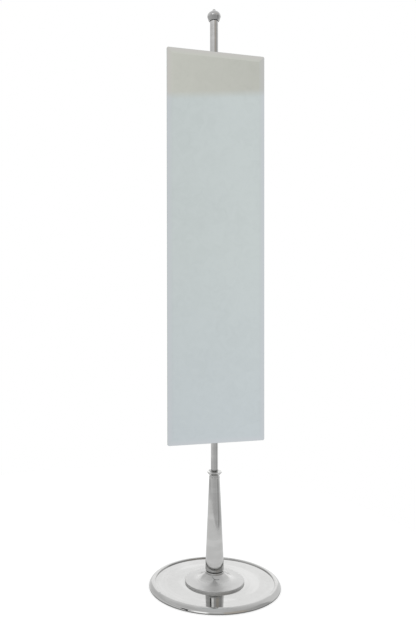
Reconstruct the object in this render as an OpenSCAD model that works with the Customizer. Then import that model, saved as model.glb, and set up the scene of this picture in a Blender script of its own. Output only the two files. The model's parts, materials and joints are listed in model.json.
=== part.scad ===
// Tall bevelled mirror on a pole stand.
// Origin: centre of the underside of the base, on the floor. +Z is up, the mirror faces -Y.

/* [Mirror plate] */
// Width of the glass
mirror_w = 320; // [240:1:400]
// Height of the glass
mirror_h = 1216; // [1000:1:1400]
// Height of the lower edge of the glass above the floor
mirror_bottom_z = 456; // [445:1:480]
// Thickness of the glass
glass_t = 5; // [4:0.5:8]
// Width of the bevel on each edge
bevel_w = 18; // [8:1:30]
// Thickness that the bevel takes off at the edge
bevel_drop = 2; // [0.8:0.1:3]
// Corner radius of the glass
corner_r = 5; // [2:0.5:12]

/* [Backing] */
// Thickness of the backing board
board_t = 5; // [5:0.5:10]
// Distance from the edge of the glass to the edge of the board
board_inset = 2; // [1:0.5:8]
// Thickness of the mastic strips
strip_t = 1; // [0.6:0.1:3]
// Width of one mastic strip
strip_w = 28; // [10:1:40]
// Distance between the middles of neighbouring strips
strip_pitch = 70; // [45:1:72]
// Distance from the end of a strip to the edge of the glass
strip_end_gap = 60; // [20:1:120]

/* [Pole] */
// Outside diameter of the fixed pole
pole_d = 22.2; // [20:0.1:24]
// Wall of the pole
pole_wall = 1.5; // [1:0.1:2.5]
// Length of the threaded plug in the lower end
foot_plug_len = 38; // [28:1:60]
// How far the pole reaches above the upper bracket, inside the swivel tube
pole_spare = 100; // [40:1:200]
// Length of the nylon cap's plug in the pole
cap_plug_len = 14; // [8:1:30]
// Thickness of the cap's head
cap_head_h = 3; // [2:0.5:6]

/* [Swivel tube] */
// Outside diameter of the tube that turns on the pole with the mirror
tube_d = 25.4; // [25:0.1:30]
// How far the tube stands above the upper edge of the glass
tube_above = 103; // [60:1:300]
// Length of the threaded plug in its upper end
top_plug_len = 26; // [22:1:60]

/* [Finial] */
// Height of the finial
finial_h = 38; // [37:0.5:44]
// Largest diameter of the finial
finial_d = 42.5; // [41:0.5:46]
// Radius of the shoulder of the acorn
shoulder_r = 16.6; // [14:0.1:18]
// Height of the widest part above the tube
belly_z = 14.1; // [13:0.1:17]
// Diameter where the lower half turns under
waist_d = 35.7; // [33:0.1:38]
// Radius of the turned-under edge
under_r = 4.9; // [2:0.1:6]
// Depth of the hollow round the tube, inside the turned-under edge
finial_hollow = 2.4; // [1:0.1:4]
// Radius of the ball at the tip
tip_r = 6; // [5:0.1:7]
// Radius of the cove between ball and shoulder
cove_r = 9.6; // [6:0.1:12]
// Diameter of the stud that holds the finial
stud_d = 8; // [5:0.5:10]

/* [Column] */
// Height of the column
column_h = 292; // [200:1:320]
// Largest diameter, at the foot
column_foot_d = 59.2; // [56:0.1:80]
// Diameter at the top
column_top_d = 33.8; // [33.6:0.1:40]
// Radius of the rounded foot
column_foot_r = 7; // [4:0.5:12]
// Wall of the column
column_wall = 2; // [1:0.1:3]
// Height of the ring under the column
foot_ring_h = 6; // [3:0.5:12]

/* [Cup] */
// Wall of the neck of the cup round the pole
neck_wall = 4.8; // [4:0.1:5.2]
// Height of the neck, from the column to the bowl
neck_h = 11.5; // [10:0.5:20]
// Height of the bead above the column
bead_z = 5.5; // [4:0.5:6.5]
// Section radius of the bead
bead_r = 2.2; // [1.6:0.1:2.6]
// How far the bead stands out from the column
bead_out = 0.9; // [0.4:0.1:1.5]
// Height of the bowl above the neck
bowl_h = 12.5; // [9:0.5:16]
// How far the lip stands out from the neck
lip_out = 8.4; // [6:0.1:10]
// Section radius of the bowl's gently rounded wall
bowl_r = 30; // [18:0.5:40]
// Thickness of the bowl's wall
lip_wall = 1.2; // [0.8:0.1:2]

/* [Flange] */
// Diameter of the flange
flange_d = 187; // [150:1:240]
// Height of the edge of the flange
flange_edge_h = 6.5; // [5:0.5:12]
// Rounding of the upper edge
flange_edge_r = 1.5; // [0.5:0.5:4]
// Height of the flange at the column
flange_h = 28.5; // [24:0.5:50]

/* [Base] */
// Diameter of the base
base_d = 415; // [340:1:480]
// Height of the rim above the floor
base_h = 16.5; // [13:0.5:20]
// Width of the raised rim
rim_w = 20; // [18:0.5:40]
// Height of the straight edge under the rounded rim
rim_edge_h = 4; // [3:0.5:6]
// Rounding of the inner edge of the rim
rim_inner_r = 2.5; // [2:0.5:4]
// Depth of the dish inside the rim
dish_drop = 4; // [3:0.5:6]
// Wall of the cover
cover_wall = 1.5; // [0.8:0.1:1.8]
// Thickness of the felt
felt_t = 2; // [1:0.5:2.5]
// Distance from the edge of the base to the edge of the felt
felt_inset = 4; // [2:0.5:20]

/* [Tie rod] */
// Diameter of the rod
rod_d = 10; // [8:1:12]
// Width of the nut across its flats
nut_flats = 17; // [15:0.5:22]
// Height of the nut
nut_h = 8; // [5:0.5:10]
// Thickness of the washer under the nut
tie_washer_t = 2; // [1:0.5:3]
// Diameter of the washer
tie_washer_d = 24; // [21:0.5:30]
// Diameter of the hub of the base weight
hub_d = 40; // [36:1:50]
// Thickness of the hub above the washer
hub_roof = 5.5; // [4:0.5:7]

/* [Brackets] */
// Distance from each end of the glass to the middle of the nearer bracket
bracket_inset = 300; // [150:1:400]
// Height of a bracket
bracket_h = 50; // [40:1:80]
// Width of a bracket
bracket_w = 92; // [84:1:130]
// Thickness of the ears
ear_t = 3; // [2.5:0.5:6]
// Wall of the sleeve
sleeve_wall = 4; // [3.6:0.1:6]
// Wall between the sleeve's bore and the board
face_wall = 1.5; // [1:0.1:3]
// Corner radius of the ears
ear_r = 8; // [3:0.5:12]
// Thickness of the nylon bush's flange
bush_flange_t = 1.5; // [1:0.1:3]
// Distance across between the bracket screws
screw_span = 66; // [56:1:74]
// Distance up between the bracket screws
screw_rise = 28; // [20:1:32]
// Shank diameter of the bracket screws
screw_d = 3.8; // [3:0.1:4.5]
// Head diameter of the bracket screws
screw_head_d = 7.6; // [6:0.1:9]
// Depth of the screws in the board
screw_bite = 4; // [2:0.5:4]

/* [Height collar] */
// Height of the collar
collar_h = 12; // [10:0.5:20]
// Wall of the collar
collar_wall = 5.5; // [4:0.1:7]
// Diameter of the set screws
set_screw_d = 5; // [4:0.5:6]
// Thickness of the washer on the collar
thrust_t = 1.2; // [0.8:0.1:3]

/* [Hidden] */
$fn = 96;

// Clearances
fit = 0.05;        // between pieces pressed or screwed together
run = 0.08;        // between the pole and what turns or slides on it
loose = 0.2;       // between pieces that only lie together
clear = 0.3;       // between the pole and a turning piece that must not rub on it
end_gap = 0.1;     // between the faces that turn on each other
cut = 1;           // how far a cutting shape passes the surface

// Colours
nickel = [0.80, 0.80, 0.79];
silvered = [0.76, 0.79, 0.79];
black_board = [0.12, 0.12, 0.12];
cast_grey = [0.30, 0.30, 0.31];
zinc = [0.62, 0.63, 0.65];
nylon = [0.90, 0.89, 0.84];
felt_green = [0.16, 0.22, 0.18];
mastic = [0.55, 0.54, 0.50];

// Levels, from the floor up
pole_r = pole_d / 2;
tube_r = tube_d / 2;
base_r = base_d / 2;
dish_z = base_h - dish_drop;
flange_top_z = dish_z + flange_h;
foot_ring_top_z = flange_top_z + foot_ring_h;
column_top_z = foot_ring_top_z + column_h;
bowl_bottom_z = column_top_z + neck_h;
mirror_mid_z = mirror_bottom_z + mirror_h / 2;
mirror_top_z = mirror_bottom_z + mirror_h;
tube_top_z = mirror_top_z + tube_above;
lower_bracket_z = mirror_bottom_z + bracket_inset;
upper_bracket_z = mirror_top_z - bracket_inset;
pole_end_z = upper_bracket_z + pole_spare;

// Radii that follow the pole and the tube on it
bore_r = pole_r - pole_wall;
tube_bore_r = pole_r + run;
sleeve_bore_r = tube_r + fit;
sleeve_r = sleeve_bore_r + sleeve_wall;
collar_r = pole_r + run + collar_wall;
neck_r = pole_r + run + neck_wall;
column_top_r = column_top_d / 2;
foot_r = column_foot_d / 2;

// Planes behind the mirror, as distances in front of the pole's axis
board_back = sleeve_bore_r + face_wall;
board_front = board_back + board_t;
glass_back = board_front + strip_t;

// Tie rod, nut and washer under the hub, and the plug above the flange's spigot
spigot_h = 6;
rod_in_plug = 26;
nut_z = felt_t + loose;
tie_washer_z = nut_z + nut_h;
hub_roof_z = tie_washer_z + tie_washer_t;
hub_top_z = hub_roof_z + hub_roof;
foot_plug_z = flange_top_z + spigot_h + loose;

// Arc of the rim, level at the crest and ending on the straight edge
crest_x = base_r - rim_w + rim_inner_r;
rim_arc_h = base_h - rim_edge_h;
rim_arc_r = (pow(base_r - crest_x, 2) + pow(rim_arc_h, 2)) / (2 * rim_arc_h);

// Foot ring
foot_ring_edge_r = 1.5;

// Cup, with the set screw in the neck between bead and bowl
cup_spigot_h = 14;
cup_screw_d = 3;
cup_screw_z = column_top_z + bead_z + bead_r + cup_screw_d / 2;
lip_z = bowl_bottom_z + bowl_h;
bowl_floor_z = bowl_bottom_z + lip_wall;

// Middle of the arc that runs up the bowl from the neck to the lip
bowl_chord = [lip_out, bowl_h];
bowl_middle = [neck_r, bowl_bottom_z] + bowl_chord / 2
    + [-bowl_h, lip_out] / norm(bowl_chord) * sqrt(pow(bowl_r, 2) - pow(norm(bowl_chord) / 2, 2));

// Finial stud
stud_in_plug = 18;
stud_in_finial = 14;

// Height collar and thrust washer, from the lower bush down
thrust_top_z = lower_bracket_z - bracket_h / 2 - bush_flange_t - end_gap;
collar_top_z = thrust_top_z - thrust_t;
collar_bottom_z = collar_top_z - collar_h;
collar_edge = 0.8;
relief_gap = 0.6;

// Screws
socket_depth = 1.6;
recess_w = 1;
recess_depth = 1.4;
screw_head_h = (screw_head_d - screw_d) / 2;
drag_pad_len = 2;
drag_screw_z = lower_bracket_z - bracket_h / 4;
tube_screw_z = [lower_bracket_z + bracket_h / 4, upper_bracket_z];

// A flat ring between two heights
module ring(r_out, r_in, z0, z1) {
    translate([0, 0, z0])
        difference() {
            cylinder(r = r_out, h = z1 - z0);
            translate([0, 0, -cut])
                cylinder(r = r_in, h = z1 - z0 + 2 * cut);
        }
}

// A rectangle with true round corners, centred
module round_rect(w, h, r) {
    square([w - 2 * r, h], center = true);
    square([w, h - 2 * r], center = true);
    for (x = [-1, 1], y = [-1, 1])
        translate([x * (w / 2 - r), y * (h / 2 - r)])
            circle(r = r);
}

// Stands a flat outline up behind the mirror: its back face lies back mm in front of the axis
module upright(back, z) {
    translate([0, -back, z])
        rotate([90, 0, 0])
            children();
}

// A hexagon bar with the given width across its flats
module hex_bar(flats, h) {
    cylinder(d = flats / cos(30), h = h, $fn = 6);
}

// Base

// Half section of the base, drawn in by the inset: a flat dish and a raised rim, whose top falls outwards
// from its crest in one large arc
module base_section(inset, bottom) {
    translate([0, bottom])
        square([crest_x, dish_z - inset - bottom]);
    translate([base_r - rim_w + inset, bottom])
        square([rim_inner_r - inset, base_h - rim_inner_r - bottom]);
    translate([crest_x, base_h - rim_inner_r])
        circle(r = rim_inner_r - inset);
    intersection() {
        translate([crest_x, base_h - rim_arc_r])
            circle(r = rim_arc_r - inset, $fn = 180);
        translate([crest_x, bottom])
            square([base_r - inset - crest_x, base_h]);
    }
}

module felt_pad() {
    color(felt_green)
        cylinder(r = base_r - felt_inset, h = felt_t);
}

module base_cover() {
    color(nickel)
        rotate_extrude()
            difference() {
                base_section(0, felt_t);
                base_section(cover_wall, felt_t - cut);
                translate([0, felt_t])
                    square([hub_d / 2 + loose, base_h]);
            }
}

module base_weight() {
    color(cast_grey)
        difference() {
            union() {
                rotate_extrude()
                    base_section(cover_wall + loose, felt_t);
                translate([0, 0, felt_t])
                    cylinder(d = hub_d, h = hub_top_z - felt_t);
            }
            translate([0, 0, felt_t - cut])
                cylinder(d = tie_washer_d + 2 * loose, h = hub_roof_z - felt_t + cut);
            cylinder(r = rod_d / 2 + loose, h = hub_top_z + cut);
        }
}

// Flange

// The hollow top is one arc, level at the edge and rising to the column
module flange_section() {
    edge_x = flange_d / 2 - flange_edge_r;
    edge_top = dish_z + flange_edge_h;
    rise = flange_top_z - edge_top;
    sweep = edge_x - foot_r;
    hollow_r = (sweep * sweep + rise * rise) / (2 * rise);
    difference() {
        translate([0, dish_z])
            square([edge_x, flange_h]);
        translate([edge_x, edge_top + hollow_r])
            circle(r = hollow_r, $fn = 360);
        translate([foot_r, flange_top_z])
            square([edge_x, hollow_r]);
    }
    translate([edge_x, edge_top - flange_edge_r])
        circle(r = flange_edge_r);
    translate([0, dish_z])
        square([flange_d / 2, flange_edge_h - flange_edge_r]);
}

module flange_disc() {
    color(nickel)
        difference() {
            union() {
                rotate_extrude()
                    flange_section();
                translate([0, 0, flange_top_z - cut])
                    cylinder(r = bore_r - fit, h = spigot_h + cut);
            }
            translate([0, 0, dish_z - cut])
                cylinder(r = hub_d / 2 + loose, h = hub_top_z - dish_z + cut);
            cylinder(r = rod_d / 2 + loose, h = foot_plug_z + cut);
        }
}

module tie_washer() {
    color(zinc)
        ring(tie_washer_d / 2, rod_d / 2 + loose, tie_washer_z, hub_roof_z);
}

module tie_nut() {
    color(zinc)
        translate([0, 0, nut_z])
            difference() {
                hex_bar(nut_flats, nut_h);
                translate([0, 0, -cut])
                    cylinder(r = rod_d / 2 + fit, h = nut_h + 2 * cut);
            }
}

module tie_rod() {
    color(zinc)
        translate([0, 0, nut_z])
            cylinder(d = rod_d, h = foot_plug_z + rod_in_plug - nut_z);
}

// Column

module foot_ring() {
    color(nickel)
        rotate_extrude()
            difference() {
                union() {
                    translate([0, flange_top_z])
                        square([foot_r, foot_ring_h - foot_ring_edge_r]);
                    translate([0, flange_top_z])
                        square([foot_r - foot_ring_edge_r, foot_ring_h]);
                    translate([foot_r - foot_ring_edge_r, foot_ring_top_z - foot_ring_edge_r])
                        circle(r = foot_ring_edge_r);
                }
                translate([0, flange_top_z - cut])
                    square([pole_r + loose, foot_ring_h + 2 * cut]);
            }
}

// Half section of the column, drawn in by the wall: a straight taper on a rounded foot
module column_section(wall, top) {
    foot_z = foot_ring_top_z + column_foot_r;
    polygon([
        [0, foot_ring_top_z + wall], [foot_r - column_foot_r, foot_ring_top_z + wall],
        [foot_r - column_foot_r, foot_z], [foot_r - wall, foot_z],
        [column_top_r - wall, top], [0, top]
    ]);
    translate([foot_r - column_foot_r, foot_z])
        circle(r = column_foot_r - wall);
}

module column() {
    color(nickel)
        rotate_extrude()
            difference() {
                column_section(0, column_top_z);
                column_section(column_wall, column_top_z + cut);
                square([pole_r + loose, column_top_z]);
            }
}

// Cup

// The cup: a spigot in the column, a foot with a bead, a neck and a thin flaring bowl round the pole
module column_cup() {
    color(nickel)
        difference() {
            rotate_extrude()
                difference() {
                    union() {
                        translate([0, column_top_z - cup_spigot_h])
                            square([column_top_r - column_wall - fit, cup_spigot_h]);
                        translate([0, column_top_z])
                            square([column_top_r, bead_z]);
                        translate([column_top_r + bead_out - bead_r, column_top_z + bead_z])
                            circle(r = bead_r);
                        translate([0, column_top_z + bead_z])
                            square([neck_r, neck_h - bead_z + cut]);
                        intersection() {
                            translate(bowl_middle)
                                circle(r = bowl_r);
                            translate([0, bowl_bottom_z])
                                square([neck_r + lip_out, bowl_h]);
                        }
                    }
                    intersection() {
                        translate(bowl_middle)
                            circle(r = bowl_r - lip_wall);
                        translate([0, bowl_floor_z])
                            square([neck_r + lip_out, bowl_h]);
                    }
                    translate([0, column_top_z - cup_spigot_h - cut])
                        square([pole_r + run, cup_spigot_h + neck_h + bowl_h]);
                }
            cup_screw_hole();
        }
}

module cup_screw_hole() {
    translate([0, 0, cup_screw_z])
        rotate([-90, 0, 0])
            cylinder(r = cup_screw_d / 2 + fit, h = neck_r + 2 * bead_r);
}

module cup_set_screw() {
    color(zinc)
        set_screw(cup_screw_d, pole_r + run, neck_r - loose, cup_screw_z);
}

// A headless screw with a hexagon socket, along +Y between two distances from the axis
module set_screw(d, tip_y, end_y, z) {
    translate([0, tip_y, z])
        rotate([-90, 0, 0])
            difference() {
                cylinder(d = d, h = end_y - tip_y);
                translate([0, 0, end_y - tip_y - socket_depth])
                    hex_bar(d / 2, socket_depth + cut);
            }
}

// Pole

module pole() {
    color(nickel)
        ring(pole_r, bore_r, flange_top_z, pole_end_z);
}

module pole_foot_plug() {
    color(zinc)
        ring(bore_r - fit, rod_d / 2 + fit, foot_plug_z, foot_plug_z + foot_plug_len);
}

// The cap closes the pole inside the swivel tube
module pole_cap() {
    color(nylon) {
        translate([0, 0, pole_end_z - cap_plug_len])
            cylinder(r = bore_r - fit, h = cap_plug_len + cut);
        translate([0, 0, pole_end_z])
            cylinder(r = pole_r, h = cap_head_h);
    }
}

// Swivel tube, from the middle of the lower bracket to the finial

module swivel_tube() {
    color(nickel)
        ring(tube_r, tube_bore_r, lower_bracket_z, tube_top_z);
}

module top_plug() {
    color(zinc)
        ring(tube_bore_r - fit, stud_d / 2 + fit, tube_top_z - top_plug_len, tube_top_z);
}

module finial_stud() {
    color(zinc)
        translate([0, 0, tube_top_z - stud_in_plug])
            cylinder(d = stud_d, h = stud_in_plug + stud_in_finial);
}

// Finial

// Half section of the acorn, from the top of the tube: a turned-under foot, a straight flank, a round
// shoulder, and a round tip that grows out of it through a cove tangent to both
module finial_section() {
    belly_r = finial_d / 2;
    waist_r = waist_d / 2;
    shoulder_x = belly_r - shoulder_r;
    ball_z = finial_h - tip_r;
    to_ball = tip_r + cove_r;
    to_shoulder = shoulder_r + cove_r;
    span = norm([shoulder_x, ball_z - belly_z]);
    along = (pow(to_ball, 2) - pow(to_shoulder, 2) + pow(span, 2)) / (2 * span);
    aside = sqrt(pow(to_ball, 2) - pow(along, 2));
    dir = [shoulder_x, belly_z - ball_z] / span;
    cove = [dir.x * along - dir.y * aside, ball_z + dir.y * along + dir.x * aside];
    difference() {
        polygon([[0, 0], [waist_r - under_r, 0], [waist_r, under_r], [belly_r, belly_z],
                 [shoulder_x, belly_z], cove, [0, ball_z]]);
        translate(cove)
            circle(r = cove_r);
    }
    translate([waist_r - under_r, under_r])
        circle(r = under_r);
    intersection() {
        translate([shoulder_x, belly_z])
            circle(r = shoulder_r);
        translate([0, belly_z])
            square([belly_r, shoulder_r]);
    }
    intersection() {
        translate([0, ball_z])
            circle(r = tip_r);
        translate([0, belly_z])
            square([tip_r, finial_h]);
    }
}

module finial() {
    color(nickel)
        translate([0, 0, tube_top_z])
            difference() {
                rotate_extrude()
                    finial_section();
                translate([0, 0, -cut])
                    cylinder(r = stud_d / 2 + fit, h = stud_in_finial + loose + cut);
                ring((tube_r + waist_d / 2) / 2, tube_r, -cut, finial_hollow);
            }
}

// Height collar, thrust washer and set screw

module height_collar() {
    color(zinc)
        difference() {
            rotate_extrude()
                polygon([
                    [pole_r + run, collar_bottom_z],
                    [collar_r - collar_edge, collar_bottom_z],
                    [collar_r, collar_bottom_z + collar_edge],
                    [collar_r, collar_top_z - collar_edge],
                    [collar_r - collar_edge, collar_top_z],
                    [pole_r + run, collar_top_z]
                ]);
            translate([0, 0, collar_bottom_z + collar_h / 2])
                rotate([-90, 0, 0])
                    cylinder(r = set_screw_d / 2 + fit, h = collar_r + cut);
        }
}

module collar_set_screw() {
    color(cast_grey)
        set_screw(set_screw_d, pole_r + run, collar_r - loose, collar_bottom_z + collar_h / 2);
}

module thrust_washer() {
    color(nylon)
        ring(collar_r - collar_edge, pole_r + clear, collar_top_z, thrust_top_z);
}

// Brackets and bushes

// Plan of a bracket: a sleeve, two tapering webs and flat ears, cut flush at the board
module bracket_plan() {
    web_x = sleeve_r + 2 * ear_t;
    web_turn = 30;
    web_top = [sleeve_r * cos(web_turn), -sleeve_r * sin(web_turn)];
    difference() {
        union() {
            circle(r = sleeve_r);
            polygon([
                [-web_x, -board_back], [web_x, -board_back],
                [web_x, -board_back + ear_t], web_top,
                [-web_top.x, web_top.y], [-web_x, -board_back + ear_t]
            ]);
            translate([-bracket_w / 2, -board_back])
                square([bracket_w, ear_t]);
        }
        circle(r = sleeve_bore_r);
        translate([-bracket_w / 2, -board_back - sleeve_r])
            square([bracket_w, sleeve_r]);
    }
}

// Places its children at the four screws of one bracket, with +Z pointing away from the board
module at_screws() {
    for (x = [-1, 1], z = [-1, 1])
        translate([x * screw_span / 2, -board_back, z * screw_rise / 2])
            rotate([-90, 0, 0])
                children();
}

module countersink(gap) {
    head_r = screw_head_d / 2 + gap;
    translate([0, 0, ear_t - screw_head_h])
        cylinder(r1 = head_r - screw_head_h, r2 = head_r, h = screw_head_h);
}

// One bracket, centred on its height
module bracket() {
    difference() {
        intersection() {
            translate([0, 0, -bracket_h / 2])
                linear_extrude(bracket_h)
                    bracket_plan();
            translate([0, 2 * sleeve_r, 0])
                rotate([90, 0, 0])
                    linear_extrude(4 * sleeve_r)
                        round_rect(bracket_w, bracket_h, ear_r);
        }
        at_screws() {
            translate([0, 0, -cut])
                cylinder(r = screw_d / 2 + loose, h = ear_t + 2 * cut);
            countersink(loose);
            translate([0, 0, ear_t])
                cylinder(r = screw_head_d / 2 + loose, h = cut);
        }
    }
}

// A hole for a set screw through the back of a sleeve
module sleeve_hole(z) {
    translate([0, 0, z])
        rotate([-90, 0, 0])
            cylinder(r = set_screw_d / 2 + fit, h = sleeve_r + cut);
}

module lower_bracket() {
    color(nickel)
        difference() {
            translate([0, 0, lower_bracket_z])
                bracket();
            sleeve_hole(drag_screw_z);
            sleeve_hole(tube_screw_z[0]);
        }
}

module upper_bracket() {
    color(nickel)
        difference() {
            translate([0, 0, upper_bracket_z])
                bracket();
            sleeve_hole(tube_screw_z[1]);
        }
}

// The set screws that hold the swivel tube in the two sleeves
module tube_set_screws() {
    color(cast_grey)
        for (z = tube_screw_z)
            set_screw(set_screw_d, tube_r + fit, sleeve_r - loose, z);
}

// The bush fills the lower half of the lower sleeve, under the end of the tube, and bears on the washer
module swivel_bush() {
    bottom_z = lower_bracket_z - bracket_h / 2;
    color(nylon)
        difference() {
            union() {
                ring(tube_r, tube_bore_r, bottom_z, lower_bracket_z);
                ring(board_back - loose, tube_bore_r, bottom_z - bush_flange_t, bottom_z);
            }
            sleeve_hole(drag_screw_z);
        }
}

// The drag screw presses a nylon pad on the pole through the bush
module drag_pad() {
    color(nylon)
        translate([0, pole_r + end_gap, drag_screw_z])
            rotate([-90, 0, 0])
                cylinder(d = set_screw_d, h = drag_pad_len);
}

module drag_screw() {
    color(cast_grey)
        set_screw(set_screw_d, pole_r + end_gap + drag_pad_len, sleeve_r - loose, drag_screw_z);
}

// Countersunk screws with a cross recess
module bracket_screw() {
    difference() {
        union() {
            translate([0, 0, -screw_bite])
                cylinder(d = screw_d, h = screw_bite + ear_t - screw_head_h);
            countersink(0);
        }
        for (turn = [0, 90])
            rotate([0, 0, turn])
                translate([-screw_d / 2, -recess_w / 2, ear_t - recess_depth])
                    cube([screw_d, recess_w, recess_depth + cut]);
    }
}

module bracket_screws() {
    color(zinc)
        for (z = [lower_bracket_z, upper_bracket_z])
            translate([0, 0, z])
                at_screws()
                    bracket_screw();
}

// Mirror

// A long wedge that takes the bevel off one edge, with the edge along Y at x = 0, z = 0
module bevel_wedge(length) {
    slope = bevel_drop / bevel_w;
    rotate([90, 0, 0])
        linear_extrude(length, center = true)
            polygon([
                [cut, -bevel_drop - cut * slope],
                [cut, cut],
                [-bevel_w - cut / slope, cut]
            ]);
}

module mirror_glass() {
    color(silvered)
        upright(glass_back, mirror_mid_z)
            difference() {
                linear_extrude(glass_t)
                    round_rect(mirror_w, mirror_h, corner_r);
                for (side = [0, 180])
                    rotate([0, 0, side])
                        translate([mirror_w / 2, 0, glass_t])
                            bevel_wedge(2 * mirror_h);
                for (side = [90, 270])
                    rotate([0, 0, side])
                        translate([mirror_h / 2, 0, glass_t])
                            bevel_wedge(2 * mirror_h);
            }
}

module adhesive_strips() {
    count = 4;
    color(mastic)
        upright(board_front, mirror_mid_z)
            for (i = [0 : count - 1])
                translate([(i - (count - 1) / 2) * strip_pitch, 0, 0])
                    linear_extrude(strip_t)
                        square([strip_w, mirror_h - 2 * strip_end_gap], center = true);
}

// The board has blind holes for the screws and a shallow relief that clears the collar
module backing_board() {
    color(black_board)
        difference() {
            upright(board_back, mirror_mid_z)
                linear_extrude(board_t)
                    round_rect(mirror_w - 2 * board_inset, mirror_h - 2 * board_inset, corner_r);
            for (z = [lower_bracket_z, upper_bracket_z])
                translate([0, 0, z])
                    at_screws()
                        translate([0, 0, -screw_bite - loose])
                            cylinder(r = screw_d / 2 + fit, h = screw_bite + loose + cut);
            translate([0, 0, collar_bottom_z - relief_gap])
                cylinder(r = collar_r + relief_gap, h = thrust_top_z - collar_bottom_z + 2 * relief_gap);
        }
}

felt_pad();
base_weight();
base_cover();
flange_disc();
foot_ring();
column();
column_cup();
cup_set_screw();
pole();
pole_foot_plug();
pole_cap();
tie_rod();
tie_nut();
tie_washer();
height_collar();
collar_set_screw();
thrust_washer();
mirror_glass();
adhesive_strips();
backing_board();
lower_bracket();
upper_bracket();
bracket_screws();
swivel_tube();
tube_set_screws();
swivel_bush();
drag_screw();
drag_pad();
top_plug();
finial_stud();
finial();
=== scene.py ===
# %% [markdown]
# A tall bevelled mirror on a pole stand.
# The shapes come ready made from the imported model, in metres, with the floor at z = 0 and the mirror
# facing -Y. This lesson gives them their finishes, a plain white studio and a camera that stands where the
# photograph was taken from.

import json
import math

import bmesh
import bpy
from mathutils import Euler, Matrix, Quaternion, Vector


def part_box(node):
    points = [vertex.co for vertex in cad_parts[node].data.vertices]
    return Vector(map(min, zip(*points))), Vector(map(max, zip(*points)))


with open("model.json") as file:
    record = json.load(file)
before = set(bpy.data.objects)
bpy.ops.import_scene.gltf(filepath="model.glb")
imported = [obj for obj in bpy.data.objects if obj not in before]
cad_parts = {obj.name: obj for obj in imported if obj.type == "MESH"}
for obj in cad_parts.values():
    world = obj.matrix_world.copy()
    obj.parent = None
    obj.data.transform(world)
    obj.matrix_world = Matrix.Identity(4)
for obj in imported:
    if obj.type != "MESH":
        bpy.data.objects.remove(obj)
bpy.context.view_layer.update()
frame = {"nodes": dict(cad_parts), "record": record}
nodes = frame["nodes"]
record = frame["record"]

# %% [markdown]
# The camera.
# Its place, its turn and its lens could be set by eye, but then no edge would lie quite where the photograph
# has it. So they were solved from the photograph: the four corners of the plate, the round base and the
# straight pole leave room for only one camera. It stands a little to the left of the plate's middle line
# and at chest height. The picture was trimmed on one side, so the lens is shifted by the same share.

# %% Camera
image_height = 624
focal_pixels = 664.4
sensor = 36
shift_right = 0.0583
shift_up = 0.0014
camera_distance = 2.0974
camera_height = 0.8939
camera_side = math.radians(19.59)
camera_heading = math.radians(-15.912)
camera_pitch = math.radians(-0.848)
camera_roll = math.radians(-0.108)

camera_data = bpy.data.cameras.new("camera")
camera_data.sensor_width = sensor
camera_data.lens = focal_pixels / image_height * sensor
camera_data.shift_x = shift_right
camera_data.shift_y = shift_up
camera_data.clip_start = 0.05
camera_data.clip_end = 50
camera = bpy.data.objects.new("camera", camera_data)
camera.location = (
    -camera_distance * math.sin(camera_side),
    -camera_distance * math.cos(camera_side),
    camera_height,
)
camera.rotation_mode = "QUATERNION"
aim = Euler((math.pi / 2 + camera_pitch, 0, camera_heading)).to_quaternion()
camera.rotation_quaternion = aim @ Quaternion((0, 0, 1), camera_roll)
bpy.context.scene.collection.objects.link(camera)
bpy.context.scene.camera = camera
bpy.context.scene.view_settings.view_transform = "Standard"
print("camera", [round(v, 3) for v in camera.location], "lens", round(camera_data.lens, 2))


# %% [markdown]
# Node helpers.
# Materials and the world are graphs of nodes. In code each node takes several lines, so two small helpers
# keep the graphs readable. The first adds a node and sets its plain values. The second joins an output to
# an input, or writes a plain value into the input where there is no output to join.

# %% Node helpers
def add_node(tree, kind, **values):
    """A new node of a tree, with its named settings and inputs filled in."""
    node = tree.nodes.new(kind)
    for name, value in values.items():
        if hasattr(node, name):
            setattr(node, name, value)
        else:
            node.inputs[name].default_value = value
    return node


def join(tree, source, target):
    """A wire from one socket to another, or a plain value written into the socket."""
    if isinstance(source, bpy.types.NodeSocket):
        tree.links.new(source, target)
    else:
        target.default_value = source


# %% [markdown]
# Values and masks.
# Most of what follows is reckoned with a few kinds of node: a sum, a change from one span of numbers to
# another, and masks, which are 1 where an effect applies and 0 elsewhere. Masks could be painted as images,
# but reckoned ones stay sharp at any distance and need no file.

# %% Values and masks
def reckon(tree, operation, *terms):
    """What a Math node makes of sockets or plain numbers."""
    node = add_node(tree, "ShaderNodeMath", operation=operation)
    for term, target in zip(terms, node.inputs):
        join(tree, term, target)
    return node.outputs[0]


def remap(tree, value, start, end, first=0, last=1, curve="LINEAR"):
    """A value carried from the span start to end onto the span first to last."""
    node = add_node(tree, "ShaderNodeMapRange", interpolation_type=curve)
    node.inputs["From Min"].default_value = start
    node.inputs["From Max"].default_value = end
    node.inputs["To Min"].default_value = first
    node.inputs["To Max"].default_value = last
    join(tree, value, node.inputs["Value"])
    return node.outputs[0]


def span(tree, mask, low, high):
    """A 0 to 1 mask as a value between low and high."""
    return remap(tree, mask, 0, 1, low, high)


def band(tree, value, low, high):
    """A mask: 1 where a value lies between two limits."""
    return reckon(tree, "COMPARE", value, (low + high) / 2, (high - low) / 2)


def both(tree, first, second):
    """A mask: two masks at once."""
    return reckon(tree, "MULTIPLY", first, second)


def either(tree, first, second):
    """A mask: one mask or the other."""
    return reckon(tree, "MAXIMUM", first, second)


# %% [markdown]
# Colours.
# A ramp turns a number into a colour, and a Mix node lays one colour over another. Blender's Mix node has
# sockets for numbers, vectors and colours under the same names, so the colour sockets are taken by their
# places.

# %% Colours
mix_factor = 0
mix_under = 6
mix_over = 7
mix_result = 2


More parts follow.
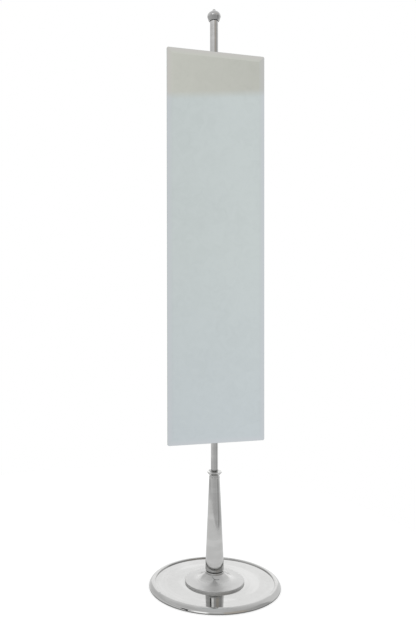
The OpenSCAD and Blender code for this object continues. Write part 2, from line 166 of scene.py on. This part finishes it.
def ramp(tree, stops, factor):
    """A colour ramp with (place, grey or colour) stops, read at a factor."""
    node = tree.nodes.new("ShaderNodeValToRGB")
    elements = node.color_ramp.elements
    while len(elements) > 1:
        elements.remove(elements[-1])
    for i, (place, tone) in enumerate(stops):
        element = elements[0] if i == 0 else elements.new(place)
        element.position = place
        rgb = tone if isinstance(tone, tuple) else (tone, tone, tone)
        element.color = (*rgb, 1)
    join(tree, factor, node.inputs[0])
    return node.outputs[0]


def two_tones(tree, mask, plain, marked):
    """A colour that runs from plain, where a mask is 0, to marked, where it is 1."""
    return ramp(tree, [(0, plain), (1, marked)], mask)


def lay_over(tree, under, mask, over, way="MIX"):
    """One varying colour laid over another where a mask is 1."""
    node = add_node(tree, "ShaderNodeMix", data_type="RGBA", blend_type=way)
    join(tree, mask, node.inputs[mix_factor])
    join(tree, under, node.inputs[mix_under])
    join(tree, over, node.inputs[mix_over])
    return node.outputs[mix_result]


def tint(tree, under, mask, colour):
    """One even colour laid over a varying one where a mask is 1."""
    return lay_over(tree, under, mask, (*colour, 1))


# %% [markdown]
# Directions in the room.
# Polished metal and mirror plate have hardly any colour of their own: they show the room. The photograph
# was taken on a white sheet in a grey room. Such a room could be built from walls and lamps, but each of
# them would throw light of its own, so it is painted on the world instead. First each direction gets two
# numbers. The azimuth is 0.5 toward the front, grows to 1 on the right and falls to 0 on the left, and 0 and
# 1 meet behind the object. The height is 0 for a level direction, 1 straight up and -1 straight down.

# %% Directions in the room
world = bpy.data.worlds.new("studio")
bpy.context.scene.world = world
world.use_nodes = True
tree = world.node_tree
tree.nodes.clear()
direction = add_node(tree, "ShaderNodeTexCoord").outputs["Generated"]
turned = add_node(tree, "ShaderNodeMapping", Rotation=(0, 0, camera_side + math.pi / 2))
join(tree, direction, turned.inputs["Vector"])
compass = add_node(tree, "ShaderNodeTexGradient", gradient_type="RADIAL")
join(tree, turned.outputs[0], compass.inputs[0])
azimuth = compass.outputs["Fac"]
split = add_node(tree, "ShaderNodeSeparateXYZ")
join(tree, turned.outputs[0], split.inputs[0])
height = split.outputs["Z"]
print("world", len(tree.nodes), "nodes for directions")

# %% [markdown]
# Walls and ceiling.
# Behind the object all is white. In front of it is a grey wall that is darker on the right, with a warmer
# ceiling over it. The plate shows where they meet, as the line between its blue-grey and its warm part. An
# image could hold the same tones, but a few stops on a ramp are enough, and each can be moved alone. The
# lists hold (azimuth, tone) stops.

# %% Walls and ceiling
ceiling_start = 0.2976
ceiling_blur = 0.005
wall_tones = [
    (0.00, 1.00), (0.08, 0.90), (0.14, 0.82), (0.22, 0.86), (0.34, 0.79), (0.43, 0.70), (0.50, 0.67),
    (0.556, 0.64), (0.592, 0.642), (0.617, 0.675), (0.65, 0.665), (0.725, 0.63), (0.78, 0.58),
    (0.805, 1.00), (1.00, 1.00),
]
warm = (0.645, 0.602, 0.552)
warm_dark = (0.605, 0.565, 0.520)
ceiling_tones = [
    (0.00, 1.00), (0.08, 0.86), (0.14, 0.78), (0.20, 0.86), (0.27, 0.91), (0.37, 0.97), (0.46, 1.00),
    (0.525, 0.92), (0.545, 0.65), (0.55, warm), (0.595, warm), (0.617, warm_dark), (0.65, warm_dark),
    (0.67, 0.60), (0.78, 0.56), (0.805, 1.00), (1.00, 1.00),
]

wall = ramp(tree, wall_tones, azimuth)
ceiling = ramp(tree, ceiling_tones, azimuth)
over_the_line = remap(tree, height, ceiling_start - ceiling_blur, ceiling_start + ceiling_blur)
room = lay_over(tree, wall, over_the_line, ceiling)
print("room", len(wall_tones), "wall tones and", len(ceiling_tones), "ceiling tones")

# %% [markdown]
# Things in the room.
# The metal shows two more things. Low on the right stands something dark, such as a chest, which makes the
# dark streak on the column. Its stops hold the share of the wall's tone that is left. Higher up on the left
# is a window with a dark bar beside it: the rim of the base and the column's image in the dish show them as
# a bright streak and a dark one. At the window's height the ceiling is lighter, which the plate's top bevel
# shows.

# %% Things in the room
chest_top = -0.17
chest_shares = [(0.662, 1.00), (0.676, 0.62), (0.702, 0.62), (0.716, 1.00)]
window_low = 0.396
window_high = 0.58
warm_high = (0.665, 0.625, 0.575)
window_tones = [
    (0.00, 1.00), (0.12, 0.80), (0.330, 0.70), (0.335, 0.02), (0.375, 0.02), (0.380, 0.72), (0.405, 1.70),
    (0.460, 1.70), (0.475, 0.70), (0.54, 0.68), (0.55, warm_high), (0.65, warm_high), (0.67, 0.60),
    (0.78, 0.56), (0.805, 1.00), (1.00, 1.00),
]

chest = ramp(tree, chest_shares, azimuth)
low_down = reckon(tree, "LESS_THAN", height, chest_top)
room = lay_over(tree, room, low_down, chest, way="MULTIPLY")
window = ramp(tree, window_tones, azimuth)
at_window = band(tree, height, window_low, window_high)
room = lay_over(tree, room, at_window, window)
print("chest below", chest_top, "window from", window_low, "to", window_high)

# %% [markdown]
# Overhead.
# High up, the tone no longer depends on the azimuth but on how far the direction leans to the back or to the
# front. It runs from white at the back to a mid grey at the front. A ramp over the azimuth would end in a
# star straight above the object, and this one doesn't. The rim of the base, the saucer and the top of the
# finial show it.

# %% Overhead
overhead_start = 0.62
overhead_full = 0.74
overhead_tones = [
    (0.00, 1.00), (0.17, 0.98), (0.26, 0.92), (0.35, 0.84), (0.47, 0.78), (0.60, 0.74), (1.00, 0.72),
]

back_to_front = remap(tree, split.outputs["X"], -1, 1)
above = ramp(tree, overhead_tones, back_to_front)
overhead = remap(tree, height, overhead_start, overhead_full)
room = lay_over(tree, room, overhead, above)
print("overhead from", overhead_start, "to", overhead_full)

# %% [markdown]
# What each ray sees.
# Only glossy and clear rays see that room. The camera sees plain white, and the soft light that falls on
# matt pieces is one even tone. One picture for all rays would be simpler, but then either the background
# would be grey or the metal would turn white. The Light Path node tells the rays apart.

# %% What each ray sees
white = (1, 1, 1, 1)
even_level = 0.85


def pick_shader(tree, mask, if_not, if_so):
    """One shader where a mask is 0 and another where it is 1."""
    node = add_node(tree, "ShaderNodeMixShader")
    for source, target in zip((mask, if_not, if_so), node.inputs):
        join(tree, source, target)
    return node.outputs[0]


ray = add_node(tree, "ShaderNodeLightPath")
in_gloss = either(tree, ray.outputs["Is Glossy Ray"], ray.outputs["Is Transmission Ray"])
even_light = add_node(tree, "ShaderNodeBackground", Color=white, Strength=even_level)
room_light = add_node(tree, "ShaderNodeBackground", Strength=1)
join(tree, room, room_light.inputs["Color"])
backdrop = add_node(tree, "ShaderNodeBackground", Color=white, Strength=1)
gloss_or_even = pick_shader(tree, in_gloss, even_light.outputs[0], room_light.outputs[0])
seen_light = pick_shader(tree, ray.outputs["Is Camera Ray"], gloss_or_even, backdrop.outputs[0])
world_out = add_node(tree, "ShaderNodeOutputWorld")
join(tree, seen_light, world_out.inputs[0])
print("world", len(tree.nodes), "nodes")

# %% [markdown]
# The floor.
# A round white sheet lies under the stand, a little further out to the left and the back. It has to look
# white and still hold a shadow, so part of its white is a glow that only the camera and the metal see, and
# the rest is paint that the lamps light. In the metal the glow fades outwards, as the light on a sheet
# does, so that hardly an edge shows there.

# %% Floor
sheet_radius = 1.25
sheet_segments = 96
sheet_centre = Vector((-0.35, 0.35, 0))
sheet_paint = (0.5, 0.5, 0.5, 1)
glow_to_camera = 0.62
glow_near = 0.49
glow_far = 0.20
fade_centre = Vector((-0.30, 0.02, 0))
fade_start = 0.75

mesh = bpy.data.meshes.new("floor")
shape = bmesh.new()
bmesh.ops.create_circle(shape, cap_ends=True, segments=sheet_segments, radius=sheet_radius)
bmesh.ops.translate(shape, verts=shape.verts, vec=sheet_centre)
shape.to_mesh(mesh)
shape.free()
floor = bpy.data.objects.new("floor", mesh)
bpy.context.scene.collection.objects.link(floor)

sheet = bpy.data.materials.new("white_sheet")
sheet.use_nodes = True
tree = sheet.node_tree
tree.nodes.clear()
paint = add_node(tree, "ShaderNodeBsdfDiffuse", Color=sheet_paint)
glow = add_node(tree, "ShaderNodeEmission", Color=white)
ray = add_node(tree, "ShaderNodeLightPath")
to_camera = reckon(tree, "MULTIPLY", ray.outputs["Is Camera Ray"], glow_to_camera)
from_centre = add_node(tree, "ShaderNodeVectorMath", operation="DISTANCE")
from_centre.inputs[1].default_value = fade_centre
join(tree, add_node(tree, "ShaderNodeTexCoord").outputs["Object"], from_centre.inputs[0])
distance = from_centre.outputs["Value"]
fade = remap(tree, distance, fade_start, sheet_radius, glow_near, glow_far, curve="SMOOTHSTEP")
strength = reckon(tree, "MULTIPLY_ADD", ray.outputs["Is Glossy Ray"], fade, to_camera)
join(tree, strength, glow.inputs["Strength"])
paint_and_glow = add_node(tree, "ShaderNodeAddShader")
join(tree, paint.outputs[0], paint_and_glow.inputs[0])
join(tree, glow.outputs[0], paint_and_glow.inputs[1])
sheet_out = add_node(tree, "ShaderNodeOutputMaterial")
join(tree, paint_and_glow.outputs[0], sheet_out.inputs["Surface"])
mesh.materials.append(sheet)
print("floor", sheet_radius, "m in radius")

# %% [markdown]
# The lamps.
# Small lamps would cut hard shadows, and the photograph has none. So there are two large soft boxes: one
# behind and above, which brightens the dish of the base, and one at the front left, which lights the matt
# pieces and casts the shadow but leaves no patch in the polish. They are plain and not strong, so a colour
# comes out about as it is written.

# %% Lamps
def soft_box(name, place, target, width, height, power):
    """A flat lamp that looks at a point."""
    data = bpy.data.lights.new(name, "AREA")
    data.shape = "RECTANGLE"
    data.size = width
    data.size_y = height
    data.energy = power
    lamp = bpy.data.objects.new(name, data)
    lamp.location = place
    lamp.rotation_euler = (Vector(target) - Vector(place)).to_track_quat("-Z", "Y").to_euler()
    lamp.visible_camera = False
    bpy.context.scene.collection.objects.link(lamp)
    return lamp


back_box = soft_box("back_box", place=(0.9, 2.8, 1.2), target=(0, 0, 0.6), width=3.2, height=1.8, power=6)
front_box = soft_box("front_box", place=(-1.3, -1.3, 3.3), target=(0, 0, 0.8), width=2, height=2, power=8)
front_box.visible_glossy = False
print("lamps", back_box.name, front_box.name)

# %% [markdown]
# Start of an effect.
# An effect that more than one finish uses is a node group, built once. Every group takes a place on the
# object and a size of pattern, and gives masks or values that change over the surface.

# %% Start of an effect
def start_group(name, inputs, outputs):
    """A node group with a Vector input, the named number inputs and the named outputs."""
    group = bpy.data.node_groups.new(name, "ShaderNodeTree")
    group.interface.new_socket("Vector", in_out="INPUT", socket_type="NodeSocketVector")
    for title, value in inputs.items():
        socket = group.interface.new_socket(title, in_out="INPUT", socket_type="NodeSocketFloat")
        socket.default_value = value
    for title in outputs:
        group.interface.new_socket(title, in_out="OUTPUT", socket_type="NodeSocketFloat")
    inlet = add_node(group, "NodeGroupInput")
    outlet = add_node(group, "NodeGroupOutput")
    return group, inlet.outputs, outlet.inputs


def noise(tree, place, size, **settings):
    """Noise of a size, read at a place."""
    node = add_node(tree, "ShaderNodeTexNoise", **settings)
    join(tree, place, node.inputs["Vector"])
    join(tree, size, node.inputs["Scale"])
    return node.outputs["Fac"]


# %% [markdown]
# Handling marks.
# Polished metal and glass in a shop are never perfectly even. Cloths leave faint cloudy patches that show
# mostly as a change of gloss. A picture of smudges would do, but it would have seams. This group makes such
# a mask from two sizes of noise, and every polished finish uses it.

# %% Handling marks
streak_fineness = 6
clean_below = 0.16
marked_above = 0.42


def make_handling_marks():
    """A node group: cloudy wiping marks, 0 clean to 1 marked."""
    group, given, result = start_group("handling_marks", {"Size": 12}, ["Marks"])
    cloud = noise(group, given["Vector"], given["Size"], Detail=4, Roughness=0.55, Distortion=0.6)
    finer = reckon(group, "MULTIPLY", given["Size"], streak_fineness)
    streak = noise(group, given["Vector"], finer, Detail=2, Roughness=0.5, Distortion=1.2)
    marks = remap(group, both(group, cloud, streak), clean_below, marked_above)
    join(group, marks, result["Marks"])
    return group


handling_marks = make_handling_marks()
print("group", handling_marks.name)

# %% [markdown]
# Lathe rings.
# Everything round on this stand was turned, and the tool leaves rings about the axis. A Wave texture would
# draw them as even as the grooves of a record, so they come from noise. The group measures how far a point
# lies from the pole's axis and how high it is, and feeds both to the noise: on a flat dish the rings then
# run round the middle, and on an upright tube they run round the tube. A share of the place itself, the
# drift, keeps them from being even: a little for fine rings, more for the swirls of a buffing wheel. The
# radius and the height come out too, because the masks for single zones are made from them.

# %% Lathe rings
flatten = (1, 1, 0)


def make_lathe_rings():
    """A node group: rings about the Z axis, with the radius and the height they were made from."""
    settings = {"Size": 900, "Drift": 0.006}
    group, given, result = start_group("lathe_rings", settings, ["Rings", "Radius", "Height"])
    flat = add_node(group, "ShaderNodeVectorMath", operation="MULTIPLY")
    flat.inputs[1].default_value = flatten
    join(group, given["Vector"], flat.inputs[0])
    length = add_node(group, "ShaderNodeVectorMath", operation="LENGTH")
    join(group, flat.outputs["Vector"], length.inputs[0])
    radius = length.outputs["Value"]
    parts = add_node(group, "ShaderNodeSeparateXYZ")
    join(group, given["Vector"], parts.inputs[0])
    polar = add_node(group, "ShaderNodeCombineXYZ")
    join(group, radius, polar.inputs["X"])
    join(group, parts.outputs["Z"], polar.inputs["Y"])
    join(group, reckon(group, "MULTIPLY", parts.outputs["X"], given["Drift"]), polar.inputs["Z"])
    join(group, noise(group, polar.outputs[0], given["Size"], Detail=2), result["Rings"])
    join(group, radius, result["Radius"])
    join(group, parts.outputs["Z"], result["Height"])
    return group


lathe_rings = make_lathe_rings()
print("group", lathe_rings.name)

# %% [markdown]
# Speckle.
# Cast iron, moulded nylon, paint and mastic are all grainy when seen close. Cells with sharp borders would
# look like leather, so one group lays soft noise in two sizes over each other for all of them. It gives a
# height for the bump and a mask for small changes of colour and gloss.

# %% Speckle
patch_coarseness = 0.12
patch_height = 0.5
patch_none = 0.35
patch_full = 0.65


def make_speckle():
    """A node group: fine grain, with a coarser unevenness under it."""
    group, given, result = start_group("speckle", {"Size": 400}, ["Height", "Mask"])
    grain = noise(group, given["Vector"], given["Size"], Detail=3, Roughness=0.6)
    coarser = reckon(group, "MULTIPLY", given["Size"], patch_coarseness)
    patch = noise(group, given["Vector"], coarser, Detail=3, Roughness=0.5)
    join(group, reckon(group, "MULTIPLY_ADD", patch, patch_height, grain), result["Height"])
    join(group, remap(group, patch, patch_none, patch_full), result["Mask"])
    return group


speckle = make_speckle()
print("group", speckle.name)


# %% [markdown]
# Start of a finish.
# Each finish starts the same way: a material with one Principled shader, and the object's own coordinates
# in metres. A group is then placed with its own size of pattern, and a height becomes a bump. The finished
# materials are collected by name, because the record calls them by these names.

# %% Start of a finish
finishes = {}


def start_finish(name):
    """A material's tree, its shader and its object coordinates."""
    material = bpy.data.materials.new(name)
    material.use_nodes = True
    tree = material.node_tree
    tree.nodes.clear()
    shader = add_node(tree, "ShaderNodeBsdfPrincipled")
    out = add_node(tree, "ShaderNodeOutputMaterial")
    join(tree, shader.outputs[0], out.inputs["Surface"])
    place = add_node(tree, "ShaderNodeTexCoord").outputs["Object"]
    return material, tree, shader, place


def use_group(tree, group, place, **settings):
    """The outputs of a node group placed in a material with its own settings."""
    node = add_node(tree, "ShaderNodeGroup", node_tree=group)
    for title, value in settings.items():
        node.inputs[title].default_value = value
    join(tree, place, node.inputs["Vector"])
    return node.outputs


def bump(tree, shader, height, strength, distance):
    """A bump of the shader's normal from a height."""
    node = add_node(tree, "ShaderNodeBump", Strength=strength, Distance=distance)
    join(tree, height, node.inputs["Height"])
    join(tree, node.outputs[0], shader.inputs["Normal"])


def keep_finish(name, material):
    """Adds a finished material to the collection."""
    finishes[name] = material
    print("finish", name, "with", len(material.node_tree.nodes), "nodes")


# %% [markdown]
# Places on the nickel.
# All the bright metal of the stand has one finish, but some places look different in the photograph: the
# saucer under the column is satin toward its rim, and at the other places light and shade are painted into
# the colour. The lowest edge at the floor gets a painted shade, the inside of the cup a painted highlight,
# the pole's end in it a painted dark reflection, the finial's belly a painted shade and its crown a painted
# highlight. They could have materials of their own, but then the metal would have to be cut up. They lie at
# their own heights and radii, so masks from the two find them.

# %% Places on the nickel
saucer_radius = 0.0936
saucer_height = (0.0126, 0.0405)
satin_none = 0.036
satin_full = 0.0736
floor_edge_height = 0.0046
bowl_height = (0.3515, 0.3636)
bowl_slope = 0.1
pole_end_radius = 0.0113
pole_end_height = (0.3535, 0.3690)
belly_height = (1.7755, 1.7880)
crown_height = (1.7880, 1.8200)


def nickel_places(tree, radius, height):
    """Masks of the satin saucer and of the places with painted shade and highlights on the nickel, by name.
    """
    outwards = remap(tree, radius, satin_none, satin_full, curve="SMOOTHSTEP")
    on_saucer = both(tree, band(tree, radius, 0, saucer_radius), band(tree, height, *saucer_height))
    facing = add_node(tree, "ShaderNodeSeparateXYZ")
    join(tree, add_node(tree, "ShaderNodeTexCoord").outputs["Normal"], facing.inputs[0])
    upwards = reckon(tree, "GREATER_THAN", facing.outputs["Z"], bowl_slope)
    in_pole = band(tree, radius, 0, pole_end_radius)
    return {
        "satin": both(tree, on_saucer, outwards),
        # Painted highlight: the inside of the cup is made bright, as the overhead light bouncing in the bowl
        # would.
        "bowl": both(tree, upwards, band(tree, height, *bowl_height)),
        # Painted shade: the lowest edge at the floor is darkened where it shows the dark contact shadow.
        "floor_edge_shade": band(tree, height, 0, floor_edge_height),
        # Painted dark reflection: the pole's end in the cup is darkened, as the cup's dark inside shows in
        # it.
        "pole_end_dark_reflection": both(tree, in_pole, band(tree, height, *pole_end_height)),
        # Painted shade on the finial's belly.
        "belly_shade": band(tree, height, *belly_height),
        # Painted highlight on the finial's crown.
        "crown_highlight": band(tree, height, *crown_height),
    }


# %% [markdown]
# Polished nickel.
# The stand is turned and drawn metal, plated and buffed until it mirrors. One even colour and gloss would
# look drawn rather than made. What is left of the work is a slight haze where cloths wiped it, pale swirls
# from the buffing wheel, and rings from the lathe too fine to count. Rings and swirls come from the same
# group with other settings, so both run round every turned piece. The colours of the places, the satin
# and the painted shade and highlights, are laid over that one after the other.

# %% Polished nickel
nickel_clean = (0.505, 0.505, 0.50)
nickel_wiped = (0.475, 0.475, 0.468)
swirl_colour = (0.62, 0.62, 0.615)
haze_none = 0.45
haze_full = 0.70
haze_most = 0.45
satin_roughness = 0.46
place_colours = {
    "satin": (0.64, 0.64, 0.635),
    # Painted highlight inside the cup.
    "bowl": (0.95, 0.95, 0.94),
    # Painted shade on the lowest edge at the floor.
    "floor_edge_shade": (0.16, 0.16, 0.155),
    # Painted dark reflection on the pole's end in the cup.
    "pole_end_dark_reflection": (0.30, 0.30, 0.297),
    # Painted shade on the finial's belly.
    "belly_shade": (0.385, 0.385, 0.38),
    # Painted highlight on the finial's crown.
    "crown_highlight": (0.56, 0.56, 0.555),
}


def make_polished_nickel():
    """The bright metal of the stand, the tube, the brackets and the finial."""
    material, tree, shader, place = start_finish("polished_nickel")
    shader.inputs["Metallic"].default_value = 1
    marks = use_group(tree, handling_marks, place, Size=9)["Marks"]
    turned = use_group(tree, lathe_rings, place, Size=900)
    places = nickel_places(tree, turned["Radius"], turned["Height"])

    swirls = use_group(tree, lathe_rings, place, Size=38, Drift=0.3)["Rings"]
    haze = remap(tree, swirls, haze_none, haze_full, last=haze_most, curve="SMOOTHSTEP")
    colour = tint(tree, two_tones(tree, marks, nickel_clean, nickel_wiped), haze, swirl_colour)
    # Apart from the satin, these place colours are painted shade and painted highlights, not the metal's own
    # tone.
    for name, own_colour in place_colours.items():
        colour = tint(tree, colour, places[name], own_colour)
    join(tree, colour, shader.inputs["Base Color"])

    gloss = span(tree, marks, low=0.045, high=0.11)
    rough = reckon(tree, "MULTIPLY_ADD", places["satin"], satin_roughness, gloss)
    join(tree, rough, shader.inputs["Roughness"])
    bump(tree, shader, turned["Rings"], strength=0.06, distance=0.0002)
    return material


keep_finish("polished_nickel", make_polished_nickel())

# %% [markdown]
# Places on the plate.
# The CAD node holds the glass as one solid, so one material has to show all its faces. Masks from the
# distance to the plate's middle tell them apart: the ground edge all round, the painted back, the four
# bevels, and how far down a point lies.

# %% Places on the plate
ground_depth = 0.0004
paint_depth = 0.0001
bevel_width = 0.018
plate_low, plate_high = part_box("mirror_glass")
plate_middle = (plate_low + plate_high) / 2
half = (plate_high - plate_low) / 2
print("plate", [round(2 * v, 4) for v in half], "middle", [round(v, 4) for v in plate_middle])


def plate_places(tree, place):
    """Masks of the plate's ground edge, its painted back, its bevels and its lower half, by name."""
    centred = add_node(tree, "ShaderNodeMapping", Location=-plate_middle)
    join(tree, place, centred.inputs["Vector"])
    parts = add_node(tree, "ShaderNodeSeparateXYZ")
    join(tree, centred.outputs[0], parts.inputs[0])
    across = reckon(tree, "ABSOLUTE", parts.outputs["X"])
    along = reckon(tree, "ABSOLUTE", parts.outputs["Z"])
    side_ground = reckon(tree, "GREATER_THAN", across, half.x - ground_depth)
    end_ground = reckon(tree, "GREATER_THAN", along, half.z - ground_depth)
    side_bevel = remap(tree, across, half.x - bevel_width, half.x)
    end_bevel = remap(tree, along, half.z - bevel_width, half.z)
    return {
        "ground": either(tree, side_ground, end_ground),
        "painted": reckon(tree, "GREATER_THAN", parts.outputs["Y"], half.y - paint_depth),
        "bevelled": either(tree, side_bevel, end_bevel),
        "lower": remap(tree, parts.outputs["Z"], 0, -half.z),
    }


# %% [markdown]
# Mirror plate.
# A mirror is silver behind clear glass with a faint green in it. Clear glass in front of metal could be
# made, but it renders slowly and the plate is one solid, so the colour of the glass goes into the metal.
# Front and bevels mirror, the ground edge is a darker green-grey, and the back wears grey protective paint.
# The front is a little cooler toward its foot, and the green goes toward the edge, where the bevels leave
# less glass over the silver.

# %% Mirror plate
upper_tones = (0.830, 0.905, 0.900), (0.795, 0.868, 0.862)
lower_tones = (0.805, 0.880, 0.912), (0.775, 0.848, 0.878)
bevel_colour = (0.84, 0.875, 0.92)
ground_tones = (0.42, 0.50, 0.47), (0.36, 0.44, 0.41)
paint_tones = (0.30, 0.31, 0.32), (0.26, 0.27, 0.28)
unsilvered_roughness = 0.3


def make_mirror_plate():
    """The glass with its bevels, its ground edge and its painted back."""
    material, tree, shader, place = start_finish("mirror_plate")
    places = plate_places(tree, place)
    marks = use_group(tree, handling_marks, place, Size=5)["Marks"]
    upper = two_tones(tree, marks, *upper_tones)
    lower = two_tones(tree, marks, *lower_tones)
    front = lay_over(tree, upper, places["lower"], lower)
    front = tint(tree, front, places["bevelled"], bevel_colour)
    colour = lay_over(tree, front, places["ground"], two_tones(tree, marks, *ground_tones))
    colour = lay_over(tree, colour, places["painted"], two_tones(tree, marks, *paint_tones))
    join(tree, colour, shader.inputs["Base Color"])

    unsilvered = either(tree, places["ground"], places["painted"])
    join(tree, span(tree, unsilvered, low=1, high=0), shader.inputs["Metallic"])
    gloss = span(tree, marks, low=0.012, high=0.035)
    rough = reckon(tree, "MULTIPLY_ADD", unsilvered, unsilvered_roughness, gloss)
    join(tree, rough, shader.inputs["Roughness"])
    return material


keep_finish("mirror_plate", make_mirror_plate())

# %% [markdown]
# Black board.
# The board behind the glass is fibreboard with rolled black paint. Plain black would swallow its shape, so
# the paint is a very dark grey: satin, with a soft orange-peel from the speckle and a few paler scuffs from
# the handling marks.

# %% Black board
def make_black_board():
    """The painted board behind the glass."""
    material, tree, shader, place = start_finish("black_board")
    grain = use_group(tree, speckle, place, Size=520)
    marks = use_group(tree, handling_marks, place, Size=7)["Marks"]
    tone = two_tones(tree, marks, plain=(0.022, 0.022, 0.024), marked=(0.045, 0.045, 0.047))
    join(tree, tone, shader.inputs["Base Color"])
    join(tree, span(tree, grain["Mask"], low=0.38, high=0.56), shader.inputs["Roughness"])
    bump(tree, shader, grain["Height"], strength=0.25, distance=0.0003)
    return material


keep_finish("black_board", make_black_board())

# %% [markdown]
# Zinc steel.
# Screws, nuts, plugs and the height collar are steel with a thin zinc plate: dull silver with a drawn
# grain. An anisotropic gloss would suit a large drawn sheet, but on pieces this small it hardly shows, so
# the grain is a bump from noise that is squeezed along the axis.

# %% Zinc steel
drawn_grain = (120, 120, 2600)


def make_zinc_steel():
    """The plated screws, nuts and plugs and the height collar."""
    material, tree, shader, place = start_finish("zinc_steel")
    shader.inputs["Metallic"].default_value = 1
    marks = use_group(tree, handling_marks, place, Size=40)["Marks"]
    tone = two_tones(tree, marks, plain=(0.60, 0.61, 0.63), marked=(0.50, 0.51, 0.52))
    join(tree, tone, shader.inputs["Base Color"])
    join(tree, span(tree, marks, low=0.22, high=0.38), shader.inputs["Roughness"])
    drawn = add_node(tree, "ShaderNodeMapping", Scale=drawn_grain)
    join(tree, place, drawn.inputs["Vector"])
    grain = noise(tree, drawn.outputs[0], size=1, Detail=2)
    bump(tree, shader, grain, strength=0.2, distance=0.0001)
    return material


keep_finish("zinc_steel", make_zinc_steel())

# %% [markdown]
# Black steel.
# The set screws of the collar and the sleeves and the drag screw are hardened steel with a black oxide
# skin, a little oily and uneven. Such a skin lies between paint and bare metal, so the shader is only partly
# metallic, and the speckle changes its tone and its gloss together.

# %% Black steel
def make_black_steel():
    """The blackened set screws."""
    material, tree, shader, place = start_finish("black_steel")
    shader.inputs["Metallic"].default_value = 0.6
    grain = use_group(tree, speckle, place, Size=1800)
    tone = two_tones(tree, grain["Mask"], plain=(0.035, 0.035, 0.04), marked=(0.075, 0.075, 0.08))
    join(tree, tone, shader.inputs["Base Color"])
    join(tree, span(tree, grain["Mask"], low=0.34, high=0.5), shader.inputs["Roughness"])
    bump(tree, shader, grain["Height"], strength=0.15, distance=0.0001)
    return material


keep_finish("black_steel", make_black_steel())

# %% [markdown]
# Cast weight.
# The disc inside the base is grey iron as it left the sand, dull and coarse. Its pits could be modelled,
# but they are finer than a millimetre, so a strong bump from a large speckle does.

# %% Cast weight
def make_cast_weight():
    """The iron disc inside the base."""
    material, tree, shader, place = start_finish("cast_weight")
    shader.inputs["Metallic"].default_value = 0.4
    grain = use_group(tree, speckle, place, Size=350)
    tone = two_tones(tree, grain["Mask"], plain=(0.11, 0.11, 0.115), marked=(0.19, 0.185, 0.18))
    join(tree, tone, shader.inputs["Base Color"])
    join(tree, span(tree, grain["Mask"], low=0.62, high=0.82), shader.inputs["Roughness"])
    bump(tree, shader, grain["Height"], strength=0.7, distance=0.0008)
    return material


keep_finish("cast_weight", make_cast_weight())

# %% [markdown]
# Nylon.
# Bush, washer, cap and pad are natural nylon: warm white and a bit waxy. An opaque white would look like
# chalk, so the light passes a little way into it, and a fine speckle stands for the mould's surface.

# %% Nylon
def make_nylon():
    """The bush, the washer, the cap and the pad."""
    material, tree, shader, place = start_finish("nylon")
    shader.inputs["Subsurface Weight"].default_value = 0.1
    shader.inputs["Subsurface Scale"].default_value = 0.002
    grain = use_group(tree, speckle, place, Size=900)
    tone = two_tones(tree, grain["Mask"], plain=(0.80, 0.79, 0.73), marked=(0.87, 0.86, 0.80))
    join(tree, tone, shader.inputs["Base Color"])
    join(tree, span(tree, grain["Mask"], low=0.36, high=0.48), shader.inputs["Roughness"])
    bump(tree, shader, grain["Height"], strength=0.12, distance=0.0001)
    return material


keep_finish("nylon", make_nylon())

# %% [markdown]
# Felt.
# The pad under the base is pressed wool. Grown hairs would show well from close by, but the pad lies under
# the base. Its fibres lie in all directions, so stretched noise is laid in two directions, one over the
# other, and a sheen catches the loose ends.

# %% Felt
fibre_stretch = (300, 2200, 900)
fibre_turns = (25, 115)
felt_tones = [(0.35, (0.035, 0.055, 0.042)), (0.7, (0.085, 0.12, 0.095))]


def make_felt():
    """The disc under the base."""
    material, tree, shader, place = start_finish("felt")
    shader.inputs["Sheen Weight"].default_value = 0.4
    shader.inputs["Sheen Roughness"].default_value = 0.6
    shader.inputs["Specular IOR Level"].default_value = 0.1
    layers = []
    for turn in fibre_turns:
        lay = add_node(tree, "ShaderNodeMapping", Scale=fibre_stretch, Rotation=(0, 0, math.radians(turn)))
        join(tree, place, lay.inputs["Vector"])
        layers.append(noise(tree, lay.outputs[0], size=1, Detail=3, Distortion=0.8))
    pile = reckon(tree, "MAXIMUM", *layers)
    join(tree, ramp(tree, felt_tones, pile), shader.inputs["Base Color"])
    join(tree, span(tree, pile, low=0.85, high=1), shader.inputs["Roughness"])
    bump(tree, shader, pile, strength=0.8, distance=0.0006)
    return material


keep_finish("felt", make_felt())

# %% [markdown]
# Mastic.
# Between board and glass lie strips of mirror adhesive: grey, matt rubber that is slightly dimpled. Little
# of them shows, only their edges behind the glass, so the dimples are a bump from the speckle.

# %% Mastic
def make_mastic():
    """The strips between board and glass."""
    material, tree, shader, place = start_finish("mastic")
    grain = use_group(tree, speckle, place, Size=260)
    tone = two_tones(tree, grain["Mask"], plain=(0.40, 0.385, 0.36), marked=(0.48, 0.465, 0.44))
    join(tree, tone, shader.inputs["Base Color"])
    join(tree, span(tree, grain["Mask"], low=0.6, high=0.75), shader.inputs["Roughness"])
    bump(tree, shader, grain["Height"], strength=0.4, distance=0.0005)
    return material


keep_finish("mastic", make_mastic())

# %% [markdown]
# Dress the pieces.
# The record says which finish each CAD node takes. The shapes are right as they are, so each node keeps its
# mesh and only gets its material.

# %% Dress the pieces
for subpart in record["subparts"]:
    piece = nodes[subpart["node"]]
    piece.data.materials.clear()
    piece.data.materials.append(finishes[subpart["material_slot"]])
print("dressed", len(record["subparts"]), "pieces in", len(finishes), "finishes")
